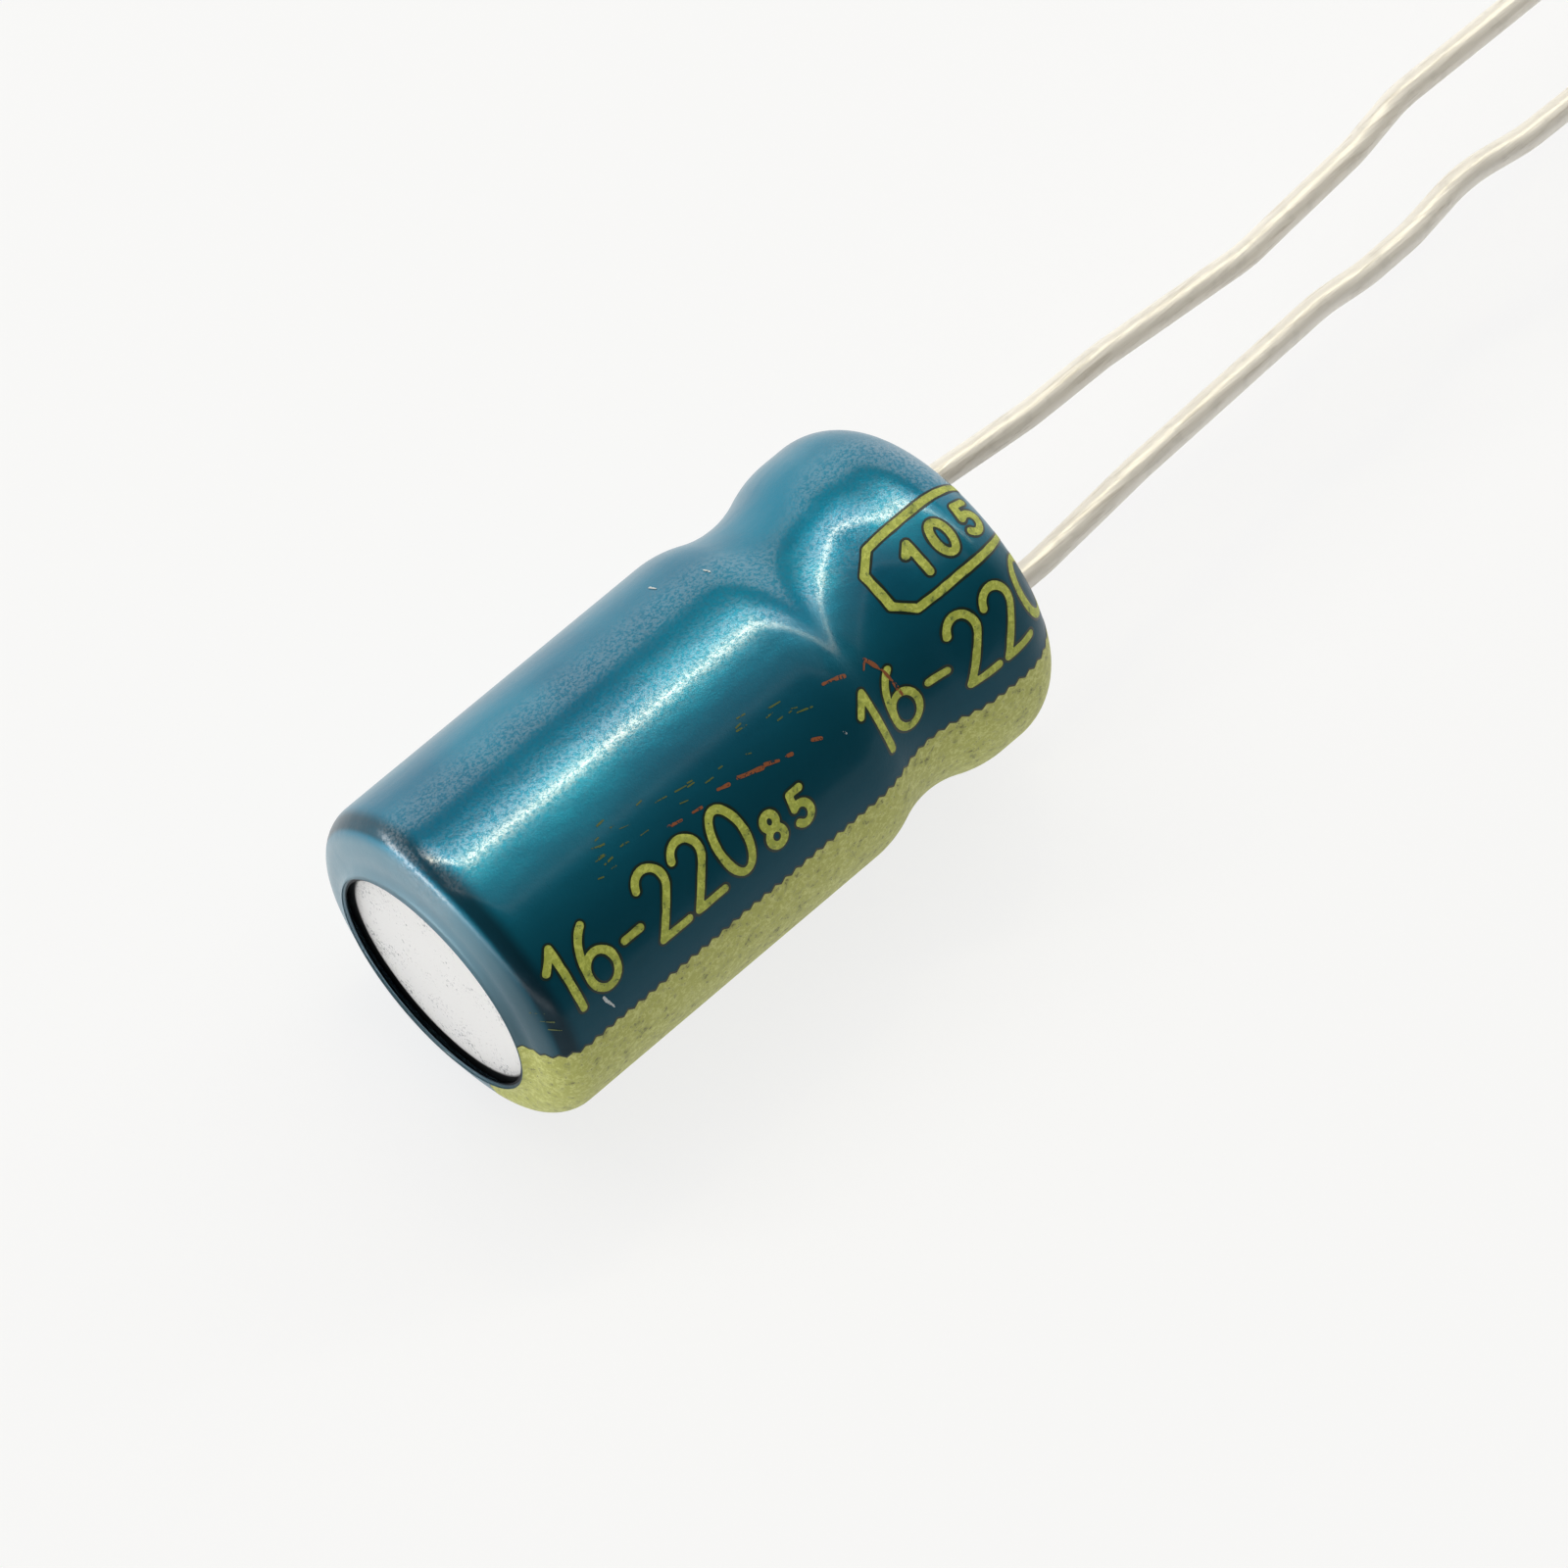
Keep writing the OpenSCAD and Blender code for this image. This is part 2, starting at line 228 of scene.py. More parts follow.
class Value:
    """A number in a node tree. Python's operators on it add Math nodes."""

    def __init__(self, tree, socket):
        self.tree = tree
        self.socket = socket

    def math(self, operation, *others):
        inputs = dict(enumerate((self,) + others))
        return self.tree.value("ShaderNodeMath", {"operation": operation}, inputs)

    def reflected(self, operation, other):
        return self.tree.value("ShaderNodeMath", {"operation": operation}, {0: other, 1: self})

    def __add__(self, other):
        return self.math("ADD", other)

    __radd__ = __add__

    def __mul__(self, other):
        return self.math("MULTIPLY", other)

    __rmul__ = __mul__

    def __sub__(self, other):
        return self.math("SUBTRACT", other)

    def __rsub__(self, other):
        return self.reflected("SUBTRACT", other)

    def __pow__(self, other):
        return self.math("POWER", other)

    def __rpow__(self, other):
        return self.reflected("POWER", other)

    def __neg__(self):
        return self * -1

    def ramp(self, low, high):
        """0 up to low, 1 from high on, and smooth between."""
        inputs = {"Value": self, "From Min": low, "From Max": high}
        return self.tree.value("ShaderNodeMapRange", {"interpolation_type": "SMOOTHSTEP"}, inputs)


def new_material(name):
    material = bpy.data.materials.new(name)
    material.use_nodes = True
    return material, Tree(material.node_tree)


def principled(tree, **sockets):
    """A Principled surface. An underscore in a name stands for a space."""
    inputs = {key.replace("_", " "): value for key, value in sockets.items()}
    shader = tree.node("ShaderNodeBsdfPrincipled", None, inputs)
    tree.node("ShaderNodeOutputMaterial", None, {"Surface": shader.outputs[0]})


def bump(tree, height, millimetres, strength=1.0):
    """A normal from a height of 0 to 1 that stands for so many millimetres."""
    inputs = {"Height": height, "Distance": millimetres * MM, "Strength": strength}
    return tree.node("ShaderNodeBump", None, inputs).outputs[0]


# Finishes

def film_finish(look):
    """Blue film shrunk over bright aluminium: tinted gloss under a clear, sparkling outer face."""
    material, tree = new_material("blue_film")
    where = tree.place()
    drift = tree.grain(where, 0.35, 2)
    pores = tree.grain(where, 9, 3)
    sparkle = tree.grain(where, 15, 3, 0.8)
    waves = tree.grain(tree.vector("MULTIPLY", {0: where, 1: (0.6, 1, 1)}), 1.1, 2)

    # Places, all in millimetres. The fold, the gathered corner and the free edge follow the can's
    # shape. The print's side, the side away from it and the top are ranges across and up the body.
    # The colours laid on them below are mostly painted light: the paler fold and far side are painted
    # reflection, and the darker corner band, free edge and print side are painted shade.
    along, across, up = tree.parts(where)
    flat = CAN_FLAT_X / MM
    edge_r = (look.opening_r + EDGE_W) / MM
    fold = 1 - along.ramp(flat - 0.02, flat + 0.14)
    corner = along.ramp(flat + 0.08, flat + 0.17) * (1 - along.ramp(flat + 0.30, flat + 0.55))
    free_edge_shade = 1 - ((across * across + up * up) ** 0.5).ramp(edge_r - 0.03, edge_r + 0.03)
    clear_side = across.ramp(-2.4, 0.3)
    far_side_sheen = across.ramp(2.1, 3.1)
    top = up.ramp(2.5, 2.9) * across.ramp(-0.55, -0.1)

    body = tree.mix(drift.ramp(0.35, 0.65), look.film[:], look.film_deep[:])
    # Painted shade: the print's side of the film is painted darker
    body = tree.mix(clear_side, look.film_side_shade[:], body)
    # Painted reflection: the side away from the print is painted paler towards its far edge
    body = tree.mix(far_side_sheen * 0.3, body, look.film_sheen[:])
    # Painted shade: a dark band along the gathered corner
    body = tree.mix(corner * 0.7, body, look.film_edge_shade[:])
    # Painted reflection: the front fold is painted paler
    body = tree.mix(fold * (0.2 + 0.4 * clear_side), body, look.film_sheen[:])
    # The clear coat is fullest on top, is broken up by fine grains and is thin beside the stripe
    face = (0.35 + 0.65 * top) * (1 - (0.2 + 0.55 * top) * sparkle.ramp(0.46, 0.56))
    principled(
        tree,
        # Painted shade: the free edge is the film's own dark cut edge with painted shadow of the gap
        # beneath it
        Base_Color=tree.mix(free_edge_shade, body, look.film_edge_shade[:]),
        Metallic=(0.2 + 0.5 * clear_side) * (1 - 0.5 * fold),
        Roughness=0.31 + 0.08 * pores,
        Specular_IOR_Level=0.08,
        Coat_Weight=face * (1 - 0.9 * free_edge_shade) * (0.2 + 0.8 * clear_side),
        Coat_Roughness=0.15,
        Coat_IOR=2.0,
        Normal=bump(tree, waves + 0.14 * sparkle, 0.035),
    )
    return material


def ink_finish(name, plain, bright, dull):
    """Matt ink with the coarse grain of a quick print."""
    material, tree = new_material(name)
    where = tree.place()
    grain = tree.grain(where, 12, 3, 0.7)
    patches = tree.grain(where, 6, 5, 0.75)
    body = tree.mix(grain.ramp(0.44, 0.60), plain, bright)
    body = tree.mix(patches.ramp(0.52, 0.68), body, dull)
    principled(
        tree,
        Base_Color=body,
        Roughness=0.42 + 0.2 * grain,
        Specular_IOR_Level=0.4,
        Normal=bump(tree, grain, 0.012),
    )
    return material


def ground_finish():
    """Dark ground of the print, which shows as a thin edge round the inks."""
    material, tree = new_material("print_ground")
    where = tree.place()
    tone = tree.mix(tree.grain(where, 5), srgb(8, 26, 20), srgb(12, 44, 34))
    principled(tree, Base_Color=tone, Roughness=0.35)
    return material


def fleck_finish(name, tint):
    """Stray ink, broken up by its own grain."""
    material, tree = new_material(name)
    where = tree.place()
    grain = tree.grain(where, 14, 3)
    tone = tree.mix(grain, tint, tuple(0.55 * c for c in tint))
    principled(tree, Base_Color=tone, Roughness=0.5, Alpha=grain.ramp(0.36, 0.46))
    return material


def aluminium_finish(name, tone, speck, roughness, specks, gap_shade_r=None):
    """Bare aluminium with fine grey specks and a matt skin. Where a radius in millimetres is given,
    painted shade darkens it from there outward.
    """
    material, tree = new_material(name)
    where = tree.place()
    fine = tree.grain(where, 16, 4, 0.7)
    broad = tree.grain(where, 1.6, 3)
    dust = (fine - 0.5 + (broad - 0.5) * 0.5).ramp(*specks)
    skin = tree.mix(dust, tone, speck)
    if gap_shade_r is not None:
        _, across, up = tree.parts(where)
        # Painted shadow: the ring under the film's lifted edge is painted dark
        gap = ((across * across + up * up) ** 0.5).ramp(gap_shade_r, gap_shade_r + 0.08)
        skin = tree.mix(gap, skin, srgb(20, 24, 28))
    principled(
        tree,
        Base_Color=skin,
        Metallic=0.1,
        Roughness=roughness + 0.15 * fine,
        Normal=bump(tree, fine, 0.01, strength=0.6),
    )
    return material


def tin_finish(look):
    """Tinned wire: streaked lengthwise, a little dull, with slightly darker spots."""
    material, tree = new_material("tinned_wire")
    where = tree.place()
    streaks = tree.grain(tree.vector("MULTIPLY", {0: where, 1: (0.5, 9, 9)}), 1.4, 4, 0.6)
    spots = tree.grain(where, 3.2, 3)
    tone = tree.mix(spots.ramp(0.5, 0.75), look.tin[:], tuple(0.9 * c for c in look.tin))
    tone = tree.mix(streaks.ramp(0.52, 0.68) * 0.35, tone, srgb(186, 174, 158))
    principled(
        tree,
        Base_Color=tone,
        Metallic=0.2,
        Roughness=0.26 + 0.16 * streaks,
        Normal=bump(tree, streaks, 0.02, strength=0.7),
    )
    return material


def rubber_finish():
    """Black rubber with a fine moulded grain."""
    material, tree = new_material("seal_rubber")
    where = tree.place()
    grain = tree.grain(where, 12, 4)
    tone = tree.mix(grain, srgb(26, 26, 28), srgb(44, 44, 46))
    principled(tree, Base_Color=tone, Roughness=0.6 + 0.15 * grain, Normal=bump(tree, grain, 0.02))
    return material


def sheet_finish(name, tone, dark, roughness, metallic, scale):
    """A foil, a paper or a tape of the winding."""
    material, tree = new_material(name)
    where = tree.place()
    grain = tree.grain(where, scale, 4, 0.6)
    principled(
        tree,
        Base_Color=tree.mix(grain, tone, dark),
        Metallic=metallic,
        Roughness=roughness + 0.1 * grain,
        Normal=bump(tree, grain, 0.01),
    )
    return material


def floor_finish(look):
    """White paper with a barely visible tooth, partly self-lit for the camera and reflections."""
    material, tree = new_material("white_floor")
    where = tree.place()
    tooth = tree.grain(where, 1.2, 3)
    tone = tree.mix(tooth, look.floor[:], tuple(0.985 * c for c in look.floor))
    paper = tree.node("ShaderNodeBsdfDiffuse", None, {"Color": tone})
    white = tree.node("ShaderNodeEmission", None, {"Color": (1.0, 1.0, 1.0), "Strength": 1.0})
    ray = tree.node("ShaderNodeLightPath").outputs
    seen = Value(tree, ray["Is Camera Ray"]) + Value(tree, ray["Is Transmission Ray"])
    mirrored = Value(tree, ray["Is Glossy Ray"])
    share = seen * 0.8 + mirrored * 0.88
    inputs = {0: share, 1: paper.outputs[0], 2: white.outputs[0]}
    mixed = tree.node("ShaderNodeMixShader", None, inputs)
    tree.node("ShaderNodeOutputMaterial", None, {"Surface": mixed.outputs[0]})
    return material


# Shapes

def arc(x, r, radius, start, end, steps=28):
    """Points [axial place, radius] on an arc about (x, r). Angle 0 points outward, 90 along +X."""
    angles = np.radians(np.linspace(start, end, steps + 1))
    return np.stack([x + radius * np.sin(angles), r + radius * np.cos(angles)], axis=1)


def can_line(sleeve, offset):
    """The can's outline from its flat end's corner to its curl, set off by offset."""
    depth = sleeve.groove_depth
    radii = sleeve.groove_r + sleeve.shoulder_r
    flank = math.sqrt(2 * depth * radii - depth * depth)
    tilt = math.degrees(math.asin(flank / radii))
    groove_x = CAN_CROWN_X - sleeve.groove_back
    groove_r = CAN_R - depth + sleeve.groove_r
    shoulder_r = CAN_R - sleeve.shoulder_r
    corner = sleeve.corner_r
    rim = sleeve.rim_r
    fold = math.degrees(sleeve.fold_angle)
    return np.concatenate([
        arc(CAN_FLAT_X + corner, CAN_R - corner, corner + offset, -90, 0),
        arc(groove_x - flank, shoulder_r, sleeve.shoulder_r + offset, 0, tilt),
        arc(groove_x, groove_r, sleeve.groove_r - offset, 180 + tilt, 180 - tilt),
        arc(groove_x + flank, shoulder_r, sleeve.shoulder_r + offset, -tilt, 0),
        arc(CAN_CROWN_X - rim, CAN_R - rim, rim + offset, 0, fold),
    ])


def fold_line(sleeve, offset):
    """The film's front fold, from its lifted free edge to the corner, set off by offset."""
    corner = CAN_R - sleeve.corner_r
    run = corner - sleeve.opening_r
    radius = (run * run + sleeve.lip_h ** 2) / (2 * sleeve.lip_h)
    turn = math.degrees(2 * math.atan2(sleeve.lip_h, run))
    angles = np.radians(np.linspace(turn, 0, 15))[:-1]
    reach = radius - offset
    x = CAN_FLAT_X - radius + reach * np.cos(angles)
    return np.stack([x, corner - reach * np.sin(angles)], axis=1)


def film_line(sleeve, offset):
    """The film's profile from its free edge to its rear fold, set off from its inner face."""
    return np.concatenate([fold_line(sleeve, offset), can_line(sleeve, offset)])


def even(points, step):
    """The same line with points at an even step along it."""
    lengths = np.concatenate([[0], np.cumsum(np.linalg.norm(np.diff(points, axis=0), axis=1))])
    places = np.linspace(0, lengths[-1], max(2, int(round(lengths[-1] / step)) + 1))
    return np.stack([np.interp(places, lengths, points[:, i]) for i in (0, 1)], axis=1)


class Face:
    """The film's outer face. A point on it is given by its distance along the profile and its angle
    round the axis, from +Y over +Z."""

    def __init__(self, sleeve):
        self.points = even(film_line(sleeve, sleeve.wall - FILM_INSET), 0.02 * MM)
        steps = np.diff(self.points, axis=0)
        self.lengths = np.concatenate([[0], np.cumsum(np.linalg.norm(steps, axis=1))])
        tangents = np.gradient(self.points, axis=0)
        tangents /= np.linalg.norm(tangents, axis=1)[:, None]
        self.normals = np.stack([-tangents[:, 1], tangents[:, 0]], axis=1)
        self.end = self.lengths[-1]

    def along(self, x):
        """The distance along the profile at an axial place behind the front fold."""
        first = int(np.argmin(self.points[:, 0]))
        return float(np.interp(x, self.points[first:, 0], self.lengths[first:]))

    def at(self, distance, angle, lift=0.0):
        x, r = (np.interp(distance, self.lengths, self.points[:, i]) for i in (0, 1))
        nx, nr = (np.interp(distance, self.lengths, self.normals[:, i]) for i in (0, 1))
        x = x + nx * lift
        r = r + nr * lift
        return np.stack([x, r * np.cos(angle), r * np.sin(angle)], axis=-1)


def add_piece(name, points, faces, material, replaces=()):
    """Makes a mesh object of points in the frame, gives it its finish and ties it to the part."""
    mesh = bpy.data.meshes.new(name)
    mesh.from_pydata([tuple(map(float, p)) for p in points], [], faces)
    if not mesh.polygons:
        raise RuntimeError(f"{name} came out empty")
    mesh.validate()
    mesh.update()
    mesh.polygons.foreach_set("use_smooth", [True] * len(mesh.polygons))
    piece = bpy.data.objects.new(name, mesh)
    bpy.context.scene.collection.objects.link(piece)
    mesh.materials.append(material)
    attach(piece, "root")
    if replaces:
        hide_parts(*replaces)


def grid_faces(rows, columns, close_rows=False, close_columns=False):
    """Faces over a grid of points that were listed row by row."""
    faces = []
    for i in range(rows if close_rows else rows - 1):
        for j in range(columns if close_columns else columns - 1):
            k = (i + 1) % rows
            m = (j + 1) % columns
            faces.append((i * columns + j, i * columns + m, k * columns + m, k * columns + j))
    return faces


def build_film(sleeve, material):
    """The shrunk film: a closed shell that follows the can and folds in over both its ends."""
    outer = even(film_line(sleeve, sleeve.wall - FILM_INSET), 0.09 * MM)
    inner = even(film_line(sleeve, 0), 0.25 * MM)
    half_turn = np.radians(np.linspace(0, 180, 9))[1:-1, None]
    edges = []
    for first, last in ((outer[-1], inner[-1]), (inner[0], outer[0])):
        half = (first - last) / 2
        out = np.array([-half[1], half[0]])
        edges.append((first + last) / 2 + half * np.cos(half_turn) + out * np.sin(half_turn))
    profile = np.concatenate([outer, edges[0], inner[::-1], edges[1]])
    sides = 256
    angles = np.linspace(0, 2 * math.pi, sides + 1)[:-1]
    points = [(x, r * math.cos(a), r * math.sin(a)) for a in angles for x, r in profile]
    faces = grid_faces(sides, len(profile), close_rows=True, close_columns=True)
    add_piece("film", points, faces, material, replaces=("sleeve",))


def build_stripe(face, look, ink, ground):
    """The printed stripe, a ribbon of ink with fine teeth along both edges, on a dark ground."""
    columns = int(face.end / (0.03 * MM))
    rows = 30
    margin = 0.02 * MM
    places = np.linspace(margin, face.end - margin, columns)
    phase = places / look.tooth_pitch
    tooth = np.abs(2 * (phase - np.floor(phase)) - 1) * look.tooth_h / BODY_R
    wander = np.array([noise.noise(Vector((p / MM * 0.8, 3.1, 0.4))) for p in places])
    wander = wander * 0.03 * MM / BODY_R
    ground_edge = 0.045 * MM / BODY_R
    layers = (("stripe", 0.0, INK_LIFT, ink), ("stripe_ground", ground_edge, GROUND_LIFT, ground))
    for name, spare, lift, finish in layers:
        upper = look.stripe_from + wander + tooth - spare
        lower = look.stripe_to + wander - tooth + spare
        points = []
        for k in range(rows):
            angle = upper + (lower - upper) * k / (rows - 1)
            points.extend(face.at(places, angle, lift))
        add_piece(name, points, grid_faces(rows, columns), finish)


def bow(x, y, rx, ry, start, end, steps=14):
    """Points on a part of an oval about (x, y)."""
    angles = np.radians(np.linspace(start, end, steps + 1))
    return np.stack([x + rx * np.cos(angles), y + ry * np.sin(angles)], axis=1)


# Each figure's strokes in a box one high, and its advance
FIGURES = {
    "0": ([bow(0.22, 0.5, 0.19, 0.455, 0, 360, 28)], 0.44),
    "1": ([np.array([(0.03, 0.72), (0.2, 0.94), (0.2, 0.045)])], 0.3),
    "2": ([np.concatenate([bow(0.21, 0.73, 0.18, 0.225, 165, -38),
                           [(0.03, 0.05), (0.41, 0.05)]])], 0.44),
    "5": ([np.concatenate([[(0.38, 0.95), (0.11, 0.95), (0.07, 0.55)],
                           bow(0.2, 0.33, 0.2, 0.285, 125, -145)])], 0.44),
    "6": ([bow(0.22, 0.3, 0.185, 0.255, 0, 360, 24),
           bow(0.4, 0.36, 0.365, 0.6, 182, 112)], 0.44),
    "8": ([bow(0.22, 0.74, 0.15, 0.21, 0, 360, 24),
           bow(0.22, 0.285, 0.185, 0.24, 0, 360, 24)], 0.44),
    "-": ([np.array([(0.07, 0.4), (0.3, 0.4)])], 0.36),
}


def line_of_figures(text, height, stroke, x, top, gap):
    """Strokes of a text that starts at x and hangs from the line at top, in millimetres, and the
    place where it ends."""
    result = []
    inner = height - stroke
    for figure in text:
        strokes, advance = FIGURES[figure]
        for points in strokes:
            result.append(np.stack([x + stroke / 2 + points[:, 0] * height,
                                    top + stroke / 2 + (1 - points[:, 1]) * inner], axis=1))
        x += advance * height + gap
    return result, x


def distance_to(strokes, across, along):
    """The distance from each place of a grid to the nearest stroke."""
    nearest = np.full(across.shape, np.inf)
    for points in strokes:
        for (x0, y0), (x1, y1) in zip(points[:-1], points[1:]):
            dx, dy = x1 - x0, y1 - y0
            t = ((along - x0) * dx + (across - y0) * dy) / max(dx * dx + dy * dy, 1e-12)
            t = np.clip(t, 0, 1)
            nearest = np.minimum(nearest, np.hypot(along - x0 - t * dx, across - y0 - t * dy))
    return nearest


def outline_mesh(field, xs, ys):
    """Polygons that fill a grid where field is below 0, cut along the line where it is 0."""
    numbers = {}
    places = []
    faces = []

    def corner(i, j):
        if (i, j) not in numbers:
            numbers[(i, j)] = len(places)
            places.append((xs[i], ys[j]))
        return numbers[(i, j)]

    def crossing(i, j, k, m):
        key = (i, j, k, m) if (i, j) < (k, m) else (k, m, i, j)
        if key not in numbers:
            a, b = field[i, j], field[k, m]
            t = a / (a - b)
            numbers[key] = len(places)
            places.append((xs[i] + (xs[k] - xs[i]) * t, ys[j] + (ys[m] - ys[j]) * t))
        return numbers[key]

    inside = field < 0
    busy = inside[:-1, :-1] | inside[1:, :-1] | inside[1:, 1:] | inside[:-1, 1:]
    for i, j in zip(*np.nonzero(busy)):
        ring = ((i, j), (i + 1, j), (i + 1, j + 1), (i, j + 1))
        polygon = []
        for a, b in zip(ring, ring[1:] + ring[:1]):
            if inside[a]:
                polygon.append(corner(*a))
            if inside[a] != inside[b]:
                polygon.append(crossing(*a, *b))
        if len(polygon) > 2:
            faces.append(polygon)
    return places, faces


def ink_sheet(name, face, strokes, width, lift, material, rough=0.012, step=0.024):
    """A layer of ink in the shape of strokes, laid on the film and cut off where the film ends.
    Strokes are in millimetres from the film's front and round the body from +Y. The ink's edge
    wavers by rough, on a grid of step."""
    every = np.concatenate(strokes)
    margin = width + 0.05
    low = every.min(axis=0) - margin
    high = every.max(axis=0) + margin
    xs = np.arange(low[0], high[0], step)
    ys = np.arange(low[1], high[1], step)
    along, across = np.meshgrid(xs, ys, indexing="ij")
    field = distance_to(strokes, across, along) - width / 2
    wobble = [[noise.noise(Vector((x * 4, y * 4, len(name)))) for y in ys] for x in xs]
    field = field + rough * np.array(wobble)
    places, faces = outline_mesh(field, xs, ys)
    spots = np.array(places)
    distances = np.array([face.along(FRONT_X + x * MM) for x in spots[:, 0]])
    # Ink that would run past the film's end has nothing to lie on, so its faces are left out
    over = (spots[:, 0] - (face.points[-1, 0] - FRONT_X) / MM) * MM
    distances = np.where(over > 0, face.end + over, distances)
    limit = face.end - 0.03 * MM
    keep = [f for f in faces if max(distances[i] for i in f) < limit]
    points = face.at(distances, spots[:, 1] * MM / BODY_R, lift)
    add_piece(name, points, keep, material)


def round_by(degrees):
    """An angle round the body from +Y, as millimetres of its girth."""
    return math.radians(degrees) * BODY_R / MM


def build_print(face, look, ink, ground):
    """Two runs of the line of figures and the framed figures beside them."""
    stroke = look.stroke / MM
    large = look.figure_h / MM
    small = look.small_h / MM
    first_x = 0.66
    strokes = []
    for run, top_angle in ((0, 123.4), (1, 125.4)):
        start = first_x + run * look.repeat / MM
        top = round_by(top_angle)
        line, x = line_of_figures(look.figures, large, stroke, start, top, gap=0.13)
        strokes += line
        foot = top + large - small
        line, _ = line_of_figures(look.small_figures, small, stroke, x + 0.1, foot, gap=0.26)
        strokes += line
    # The frame has cut corners and runs on past the rim, where the film ends
    top = round_by(94.4)
    frame_h = 1.40
    foot = top + frame_h
    x = 9.72
    cut = 0.32
    past = x + 4
    framed, _ = line_of_figures(look.framed, height=0.86, stroke=stroke * 1.1, x=x + 0.62,
                                top=top + 0.28, gap=0.3)
    framed.append(np.array([(past, top), (x + cut, top), (x, top + cut),
                            (x, foot - cut), (x + cut, foot), (past, foot)]))
    for name, group in (("figures", strokes), ("framed_figures", framed)):
        ink_sheet(name + "_ground", face, group, stroke + 0.09, GROUND_LIFT, ground)
        ink_sheet(name, face, group, stroke, INK_LIFT, ink)


def fleck_lines(*lines):
    """Short lines on the film. Each point is a place along the body and an angle round it."""
    return [np.array([(x, round_by(degrees)) for x, degrees in line]) for line in lines]


def build_flecks(face, rust, gold, white):
    """Stray flecks of ink and small nicks, where the photo shows them."""
    long_flecks = fleck_lines(
        ((4.05, 121), (4.3, 122)), ((4.55, 122.5), (4.72, 123)), ((5.15, 122), (5.36, 123)),
        ((5.56, 123.2), (6.02, 125.6)), ((6.1, 125.4), (6.34, 127.2)), ((6.5, 127.6), (6.6, 128.2)),
        ((7.05, 129), (7.2, 130.4)), ((7.8, 118), (8.22, 120.4)),
        ((8.62, 123.5), (8.75, 121), (8.92, 128), (9.0, 139)),
    )
    ink_sheet("rust_flecks", face, long_flecks, 0.06, FLECK_LIFT, rust, rough=0.035, step=0.016)
    chance = random.Random(11)
    small = []
    for _ in range(34):
        x = chance.uniform(2.3, 7.2)
        y = round_by(chance.uniform(107, 120))
        run = chance.uniform(0.06, 0.24)
        small.append(np.array([(x, y), (x + run, y + run * chance.uniform(-0.1, 0.5))]))
    for k in range(3):
        x = 0.28 + 0.05 * k
        small += fleck_lines(((x, 141 + 4 * k), (x + 0.16, 143 + 4 * k)))
    ink_sheet("gold_flecks", face, small, 0.024, FLECK_LIFT, gold, rough=0.012, step=0.012)
    nicks = fleck_lines(
        ((1.45, 150.5), (1.47, 152.4)), ((1.49, 153), (1.56, 156)), ((7.60, 133.6), (7.63, 134.4)),
        ((7.08, 51.5), (7.1, 54.5)), ((7.86, 62.5), (7.9, 65)),
    )
    ink_sheet("nicks", face, nicks, 0.045, FLECK_LIFT, white, rough=0.02, step=0.012)


# Each lead's steps from the weld: a straight run in wire diameters, then a turn in degrees to +Y
ANODE_STEPS = ((1, -5.5), (3.8, 4.6), (3, -4.1), (5.8, 9), (5, 6), (1.8, -11))
CATHODE_STEPS = ((1.6, 4.2), (4.8, -2.3), (8.8, -8.4), (1, 7.4), (1.4, 7.1), (1.7, -17.5), (1.2, 8))


def lead_path(leads, steps, y, reach):
    """The wire's centre line in the plane of the leads, and its direction at each point."""
    place = np.array([leads.start, y])
    heading = 0.0
    path = [(place, heading)]
    for run, turn in steps:
        place = place + run * leads.diameter * np.array([math.cos(heading), math.sin(heading)])
        path.append((place, heading))
        side = math.copysign(1, turn)
        centre = place + side * leads.bend_r * np.array([-math.sin(heading), math.cos(heading)])
        for share in np.linspace(0, 1, 7)[1:]:
            angle = heading + math.radians(turn) * share
            spot = centre - side * leads.bend_r * np.array([-math.sin(angle), math.cos(angle)])
            path.append((spot, angle))
        place, heading = path[-1]
    last = (reach - place[0]) / math.cos(heading)
    path.append((place + last * np.array([math.cos(heading), math.sin(heading)]), heading))
    return path


def dense(path, step):
    """The same path with stations no further apart than step."""
    result = [path[0]]
    for (p0, h0), (p1, h1) in zip(path[:-1], path[1:]):
        count = max(1, int(math.ceil(np.linalg.norm(p1 - p0) / step)))
        for k in range(1, count + 1):
            t = k / count
            result.append((p0 + (p1 - p0) * t, h0 + (h1 - h0) * t))
    return result


def build_lead(leads, name, node, steps, side, reach, material):
    """A tinned wire with its bends, slightly uneven, cropped square at the tip."""
    path = dense(lead_path(leads, steps, side * leads.pitch / 2, reach), 0.2 * MM)
    radius = leads.diameter / 2
    sides = 32
    # Rings along the wire, each with its share of the radius. The end rings close it, and the last
    # full ring steps back a little, which makes a small chamfer.
    rings = [(path[0], 0.0)] + [(s, 1.0) for s in path] + [(path[-1], 0.86), (path[-1], 0.0)]
    last_full = len(rings) - 3
    chamfer = 0.03 * MM
    points = []
    for k, ((place, heading), share) in enumerate(rings):
        if k == last_full:
            place = place - chamfer * np.array([math.cos(heading), math.sin(heading)])
        across = np.array([-math.sin(heading), math.cos(heading)])
        for m in range(sides):
            angle = 2 * math.pi * m / sides
            spot = Vector((place[0] / MM * 0.7, math.cos(angle) * 1.5, side * 5.0))
            dent = 1 - 0.02 * abs(noise.noise(spot))
            out = radius * share * dent
            x, y = place + across * out * math.cos(angle)
            points.append((x, y, out * math.sin(angle)))
    faces = grid_faces(len(rings), sides, close_columns=True)
    add_piece(name, points, faces, material, replaces=(node,))


# Stage

